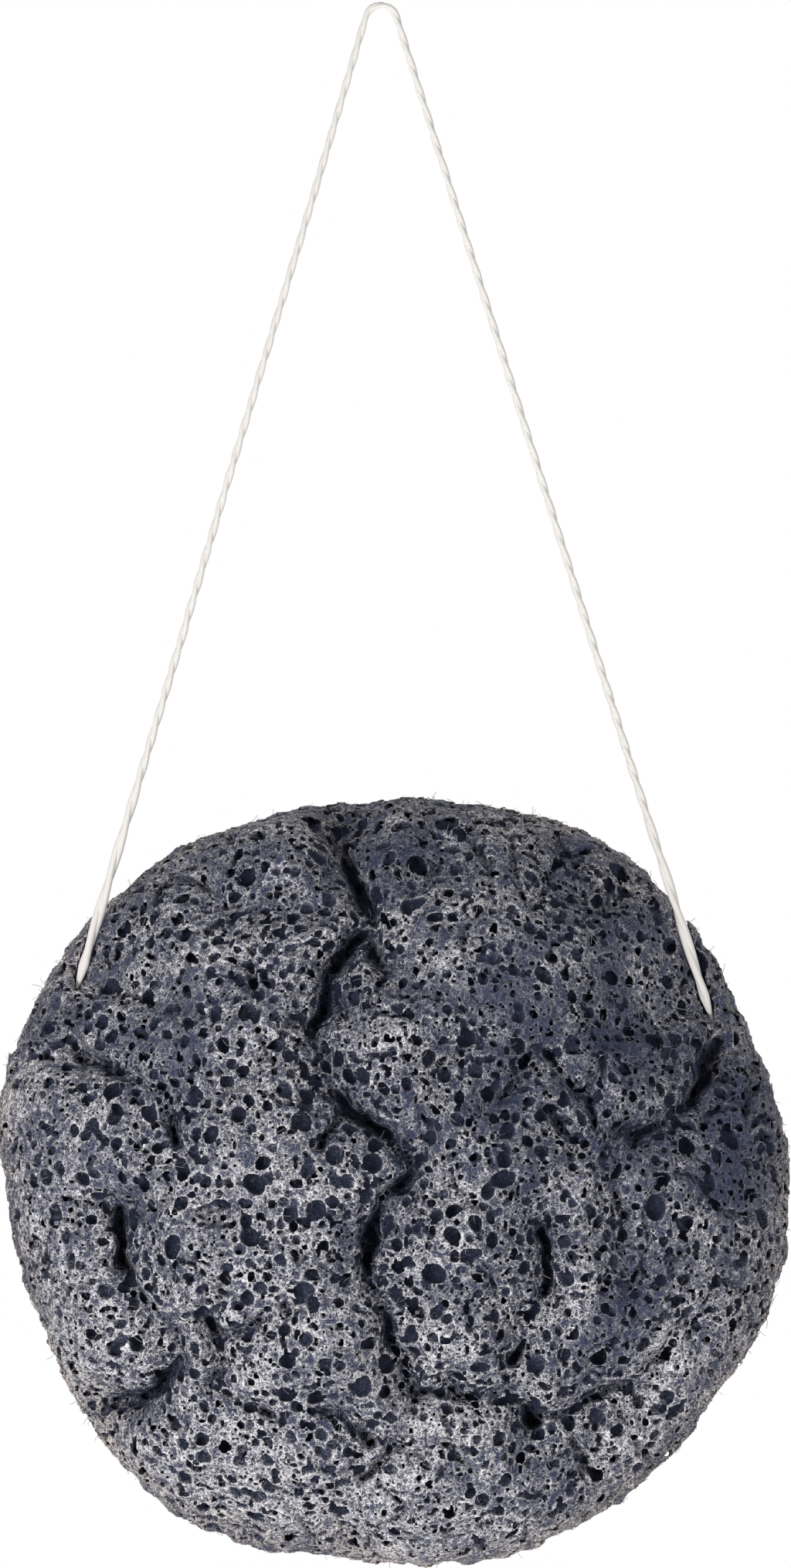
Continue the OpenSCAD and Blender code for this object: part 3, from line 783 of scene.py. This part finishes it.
def seen(tree):
    """1 for rays that show the stage, also in a gloss or through glass, and 0 for those that light."""
    rays = add(tree, "ShaderNodeLightPath").outputs
    shown = add(tree, "ShaderNodeMath", {0: rays["Is Camera Ray"], 1: rays["Is Glossy Ray"]},
                operation="MAXIMUM").outputs[0]
    return add(tree, "ShaderNodeMath", {0: shown, 1: rays["Is Transmission Ray"]},
               operation="MAXIMUM").outputs[0]


class SPONGE_OT_stage(bpy.types.Operator):
    """Adds the camera, a pale floor, soft lamps and a white surround"""

    bl_idname = "sponge.stage"
    bl_label = "Add Stage"

    def execute(self, context):
        scene = context.scene
        scene.view_settings.view_transform = "Standard"
        camera = bpy.data.cameras.new("camera")
        # 161 mm of height fill the picture 1.6 m away
        camera.lens, camera.clip_end = 357.6, 20
        eye = bpy.data.objects.new("camera", camera)
        eye.location = (0.00148, -1.6, -0.0796)
        eye.rotation_euler = (math.radians(90), 0, 0)
        scene.collection.objects.link(eye)
        scene.camera = eye
        for name, place, size, power in (
                ("key lamp", (-0.5, -0.67, -0.28), 0.32, 4.0),
                ("fill lamp", (0.5, -0.6, -0.28), 0.32, 1.2),
                ("back lamp", (0.1, 0.8, 0.45), 0.8, 4.0)):
            lamp = bpy.data.lights.new(name, "AREA")
            lamp.size, lamp.energy = size, power
            ob = bpy.data.objects.new(name, lamp)
            ob.location = place
            aim = np.array([0, 0, -0.1]) - place
            ob.rotation_euler = (math.atan2(math.hypot(aim[0], aim[1]), -aim[2]), 0,
                                 math.atan2(aim[1], aim[0]) - math.pi / 2)
            scene.collection.objects.link(ob)
        world = bpy.data.worlds.new("white surround")
        world.use_nodes = True
        tree = world.node_tree
        tree.nodes.clear()
        strength = add(tree, "ShaderNodeMapRange", {"Value": seen(tree), "To Min": 0.38, "To Max": 1.0})
        light = add(tree, "ShaderNodeBackground", {"Strength": strength.outputs[0], "Color": (1, 1, 1, 1)})
        add(tree, "ShaderNodeOutputWorld", {"Surface": light.outputs[0]})
        scene.world = world
        floor = mesh_of("floor", np.array([(-1.2, -1.2, -0.46), (1.2, -1.2, -0.46), (1.2, 1.2, -0.46),
                                           (-1.2, 1.2, -0.46)]), np.array([[0, 1, 2, 3]]))
        # Matt white paint, which shows about as pale as the surround
        paint, tree = new_material("matt white paint")
        glow = add(tree, "ShaderNodeMath", {0: seen(tree), 1: 0.36}, operation="MULTIPLY").outputs[0]
        shader = add(tree, "ShaderNodeBsdfPrincipled",
                     {"Base Color": linear("#f4f4f4"), "Roughness": 0.9, "Emission Color": (1, 1, 1, 1),
                      "Emission Strength": glow})
        add(tree, "ShaderNodeOutputMaterial", {"Surface": shader.outputs[0]})
        floor.data.materials.append(paint)
        return {"FINISHED"}


class SPONGE_OT_cord(bpy.types.Operator):
    """Winds the cord's two plies along the loop, and gives the threaded stretch and the knot their cotton"""

    bl_idname = "sponge.cord"
    bl_label = "Wind Cord"

    def execute(self, context):
        sizes, finishes = context.scene.cord_sizes, context.scene.finishes
        route = np.array([(x, 0, z) for x, z in CORD_ROUTE]) * MM
        run = np.concatenate([[0], np.cumsum(np.linalg.norm(np.diff(route, axis=0), axis=1))])
        length = run[-1]
        ring_step, tip_length, swelling = 0.0003, 0.0025, 0.1
        rings = np.linspace(0, length, round(length / ring_step))
        path = np.stack([np.interp(rings, run, p) for p in route.T], 1)
        # From 1 at the foam to 0 where the cord is round
        nearest = np.minimum(rings, length - rings)
        flat = np.clip(1 - nearest / sizes.slack, 0, 1) ** 0.7
        tip = np.clip(nearest / tip_length, 0, 1)
        # Loose by the foam, the twist is up to 3.2 times as long
        pace = 2 * math.pi / (sizes.twist * (1 + 2.2 * flat))
        turn = np.concatenate([[0], np.cumsum((pace[1:] + pace[:-1]) / 2 * np.diff(rings))])
        turn *= round(turn[-1] / math.pi) * math.pi / turn[-1]
        round_r, flat_r = sizes.diameter / 2, sizes.flat_width / 2
        # The sponge's weight draws the cord thinner, most of all round the hook
        slim = 0.86 + 0.14 * np.clip(1 - nearest / swelling, 0, 1)
        ply = 0.7 * round_r
        thick = slim * (1 + 0.3 * flat * tip) * (0.6 + 0.4 * tip)
        wide = slim * (1 + 0.75 * flat * tip * (flat_r / round_r - 1) * 2) * tip
        mesh = bpy.data.meshes.new("cord line")
        mesh.from_pydata(path.tolist(), [(i, i + 1) for i in range(len(path) - 1)], [])
        for name, values in (("turn", turn), ("wide", wide), ("thick", thick)):
            mesh.attributes.new(name, "FLOAT", "POINT").data.foreach_set("value", values.astype(np.float32))
        loop = bpy.data.objects.new("cord_loop_plies", mesh)
        context.scene.collection.objects.link(loop)
        material = cotton(finishes)
        run_tree(loop, ply_tree(material),
                 {"Ply Radius": ply, "Wind Radius": round_r - ply, "Sides": sizes.sides})
        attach(loop, "cord")
        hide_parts("cord_loop")
        for name in ("cord_thread_left", "cord_thread_right", "cord_knot"):
            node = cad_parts[name]
            node.data.materials.clear()
            node.data.materials.append(material)
        return {"FINISHED"}


class SPONGE_OT_foam(bpy.types.Operator):
    """Carves the puff of foam with its folds and cells"""

    bl_idname = "sponge.foam"
    bl_label = "Carve Foam"

    def execute(self, context):
        scene = context.scene
        points, faces, finish = carve_foam(scene.sponge_sizes, scene.cord_sizes.diameter / 2 / MM)
        foam = mesh_of("foam_puff", (points + MIDDLE) * MM, faces)
        for name, values in finish.items():
            foam.data.attributes.new(name, "FLOAT", "POINT").data.foreach_set(
                "value", values.astype(np.float32))
        layer = foam.data.uv_layers.new(name="OFBake")
        layer.uv.foreach_set(
            "vector", two_discs(points, faces, scene.sponge_sizes).astype(np.float32).ravel())
        foam.data.materials.append(konjac_foam(scene.finishes))
        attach(foam, "sponge")
        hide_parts("sponge_body")
        return {"FINISHED"}


class SPONGE_OT_fibres(bpy.types.Operator):
    """Scatters loose fibres over the foam's skin"""

    bl_idname = "sponge.fibres"
    bl_label = "Scatter Fibres"

    def execute(self, context):
        sizes = context.scene.fibre_sizes
        fibres = bpy.data.objects.new("foam_fibres", bpy.data.meshes.new("foam_fibres"))
        context.scene.collection.objects.link(fibres)
        tree = fibre_tree(bpy.data.objects["foam_puff"], konjac_thread())
        run_tree(fibres, tree, {
            "Length": sizes.length, "Thickness": sizes.thickness, "Density": sizes.density,
            "Seed": sizes.seed})
        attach(fibres, "sponge")
        return {"FINISHED"}


class SPONGE_PT_panel(bpy.types.Panel):
    """Lists the sizes and the steps"""

    bl_label = "Konjac Sponge"
    bl_space_type = "VIEW_3D"
    bl_region_type = "UI"
    bl_category = "Sponge"

    def draw(self, context):
        for group in ("sponge_sizes", "cord_sizes", "fibre_sizes", "finishes"):
            values = getattr(context.scene, group)
            for name in values.__annotations__:
                self.layout.prop(values, name)
        for operator in OPERATORS:
            self.layout.operator(operator.bl_idname)


GROUPS = {
    "sponge_sizes": SpongeSizes, "cord_sizes": CordSizes, "fibre_sizes": FibreSizes, "finishes": Finishes}
OPERATORS = (SPONGE_OT_stage, SPONGE_OT_cord, SPONGE_OT_foam, SPONGE_OT_fibres)


def register():
    for made in (*GROUPS.values(), *OPERATORS, SPONGE_PT_panel):
        bpy.utils.register_class(made)
    for name, group in GROUPS.items():
        setattr(bpy.types.Scene, name, PointerProperty(type=group))


def unregister():
    for name in GROUPS:
        delattr(bpy.types.Scene, name)
    for made in (SPONGE_PT_panel, *reversed(OPERATORS), *reversed(GROUPS.values())):
        bpy.utils.unregister_class(made)


def main():
    register()
    bpy.ops.sponge.stage()
    bpy.ops.sponge.cord()
    bpy.ops.sponge.foam()
    bpy.ops.sponge.fibres()
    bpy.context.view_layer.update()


if __name__ == "__main__":
    main()
